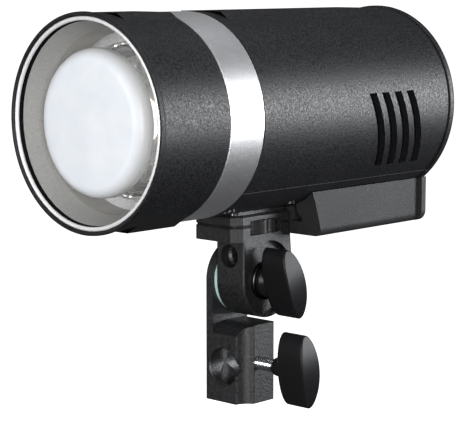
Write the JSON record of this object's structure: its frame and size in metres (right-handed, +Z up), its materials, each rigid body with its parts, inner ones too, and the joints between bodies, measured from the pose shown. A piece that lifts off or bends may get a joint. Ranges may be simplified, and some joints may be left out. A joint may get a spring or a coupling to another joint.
{
  "type": "monolight strobe",
  "caption": "Battery monolight strobe: round barrel with frosted glass dome, side vents, rear controls and slide-on battery, on a tilting stand bracket with umbrella bore.",
  "frame": {"origin": "mouth of the vertical 5/8 inch stand socket, on its axis", "axes": "+Z up along the stand socket, light fires toward -Y, +X is the side with both knobs"},
  "size_m": [0.0896, 0.1964, 0.1729],
  "materials": {
    "shell_plastic": "fine sandblast texture, near-black charcoal",
    "nose_plastic": "fine texture, near-black charcoal",
    "ring_satin": "satin silver",
    "rim_bright": "bright ring",
    "inner_grey": "matte warm grey",
    "reflector_chrome": "speckled specular reflector",
    "frosted_glass": "frosted milky white",
    "clear_glass": "clear",
    "ceramic": "white ceramic",
    "led_yellow": "phosphor",
    "cast_black": "black powder coat with cast grain",
    "knob_black": "satin black",
    "bright_zinc": "bright zinc",
    "black_steel": "blackened",
    "fibre": "pale green fibre",
    "brass_part": "turned",
    "battery_grey": "mid-dark grey textured",
    "mesh_black": "perforated, matte black",
    "circuit": "solder mask green",
    "fan_black": "moulded",
    "cap_sleeve": "shrink sleeve",
    "alu_raw": "extruded",
    "display_glass": "smoked window",
    "key_rubber": "soft key",
    "seat_rubber": "silicone",
    "gold_contact": "plated"
  },
  "bodies": {
    "stand_bracket": {"stand_block": "cast_black", "friction_washer": "fibre", "tilt_bolt": "bright_zinc"},
    "tilt_slider": {"tilt_washer": "black_steel"},
    "tilt_grip": {"tilt_knob": "knob_black"},
    "clamp_slider": {"clamp_pad": "brass_part"},
    "clamp_grip": {"clamp_screw": "bright_zinc", "clamp_knob": "knob_black"},
    "head": {"tilt_head": "cast_black", "foot_plate": "cast_black", "foot_screws": "bright_zinc", "tripod_insert": "brass_part", "nose_tube": "nose_plastic", "rim_ring": "rim_bright", "reflector_wall": "inner_grey", "reflector": "reflector_chrome", "chrome_bowl": "reflector_chrome", "lamp_base": "ceramic", "model_lamp": "led_yellow", "flash_tube": "clear_glass", "tube_sockets": "ceramic", "dome_seat": "seat_rubber", "bulkhead": "alu_raw", "heat_sink": "alu_raw", "accent_ring": "ring_satin", "upper_shell": "shell_plastic", "lower_shell": "shell_plastic", "shell_screws": "black_steel", "vent_liner": "mesh_black", "capacitor_bank": "cap_sleeve", "power_board": "circuit", "mid_frame": "alu_raw", "fan_frame": "fan_black", "rear_cap": "shell_plastic", "rear_panel": "nose_plastic", "display_window": "display_glass", "panel_board": "circuit", "display_module": "black_steel", "sync_jack": "bright_zinc", "battery_rails": "shell_plastic", "contact_block": "nose_plastic", "contact_blades": "gold_contact"},
    "thumbwheel": {"thumb_wheel": "knob_black", "thumb_screw": "bright_zinc"},
    "dome": {"glass_dome": "frosted_glass"},
    "fan": {"fan_rotor": "fan_black"},
    "battery": {"battery_case": "battery_grey", "battery_end": "battery_grey"},
    "latch": {"battery_latch": "key_rubber"},
    "dial_plunger": {"dial_shaft": "bright_zinc"},
    "dial": {"control_dial": "knob_black"},
    "menu_key": {"key_menu": "key_rubber"},
    "mode_key": {"key_mode": "key_rubber"},
    "test_key": {"key_test": "key_rubber"},
    "lamp_key": {"key_lamp": "key_rubber"},
    "switch": {"power_switch": "key_rubber"}
  },
  "joints": [
    {"name": "head_tilt", "type": "hinge", "parent": "stand_bracket", "child": "head", "pos_m": [0, 0.00655, 0.0538], "axis": [1, 0, 0], "range_deg": [-90, 90]},
    {"name": "tilt_knob_advance", "type": "slide", "parent": "stand_bracket", "child": "tilt_slider", "axis": [1, 0, 0], "range_m": [0, 0.00125]},
    {"name": "tilt_knob_turn", "type": "hinge", "parent": "tilt_slider", "child": "tilt_grip", "pos_m": [0, 0.00655, 0.0538], "axis": [1, 0, 0], "range_deg": [0, 360]},
    {"name": "clamp_screw_advance", "type": "slide", "parent": "stand_bracket", "child": "clamp_slider", "axis": [1, 0, 0], "range_m": [-0.003, 0.002]},
    {"name": "clamp_knob_turn", "type": "hinge", "parent": "clamp_slider", "child": "clamp_grip", "pos_m": [0, 0, 0.01815], "axis": [1, 0, 0], "range_deg": [-1080, 720]},
    {"name": "thumbwheel_turn", "type": "hinge", "parent": "head", "child": "thumbwheel", "pos_m": [0, 0.00375, 0.0784], "axis": [0, 0, 1], "continuous": true},
    {"name": "dome_pull", "type": "slide", "parent": "head", "child": "dome", "axis": [0, -1, 0], "range_m": [0, 0.045]},
    {"name": "fan_spin", "type": "hinge", "parent": "head", "child": "fan", "pos_m": [0, 0.02585, 0.1281], "axis": [0, 1, 0], "continuous": true},
    {"name": "battery_slide", "type": "slide", "parent": "head", "child": "battery", "axis": [0, 1, 0], "range_m": [0, 0.085]},
    {"name": "battery_latch_press", "type": "slide", "parent": "battery", "child": "latch", "axis": [0, -1, 0], "range_m": [0, 0.0012], "stiffness_N_per_m": 400, "springref_m": -0.001},
    {"name": "dial_press", "type": "slide", "parent": "head", "child": "dial_plunger", "axis": [0, -1, 0], "range_m": [0, 0.0006], "stiffness_N_per_m": 1500, "springref_m": -0.0008},
    {"name": "dial_turn", "type": "hinge", "parent": "dial_plunger", "child": "dial", "pos_m": [0, 0.10105, 0.1141], "axis": [0, 1, 0], "continuous": true},
    {"name": "power_switch_slide", "type": "slide", "parent": "head", "child": "switch", "axis": [1, 0, 0], "range_m": [0, 0.002]},
    {"name": "menu_key_press", "type": "slide", "parent": "head", "child": "menu_key", "axis": [0, -1, 0], "range_m": [0, 0.0008], "stiffness_N_per_m": 600, "springref_m": -0.001},
    {"name": "mode_key_press", "type": "slide", "parent": "head", "child": "mode_key", "axis": [0, -1, 0], "range_m": [0, 0.0008], "stiffness_N_per_m": 600, "springref_m": -0.001},
    {"name": "test_key_press", "type": "slide", "parent": "head", "child": "test_key", "axis": [0, -1, 0], "range_m": [0, 0.0008], "stiffness_N_per_m": 600, "springref_m": -0.001},
    {"name": "lamp_key_press", "type": "slide", "parent": "head", "child": "lamp_key", "axis": [0, -1, 0], "range_m": [0, 0.0008], "stiffness_N_per_m": 600, "springref_m": -0.001}
  ],
  "couplings": [
    {"joint": "tilt_knob_turn", "follows": "tilt_knob_advance", "rad_per_m": 5026.5},
    {"joint": "clamp_knob_turn", "follows": "clamp_screw_advance", "rad_per_m": 6283.2}
  ]
}
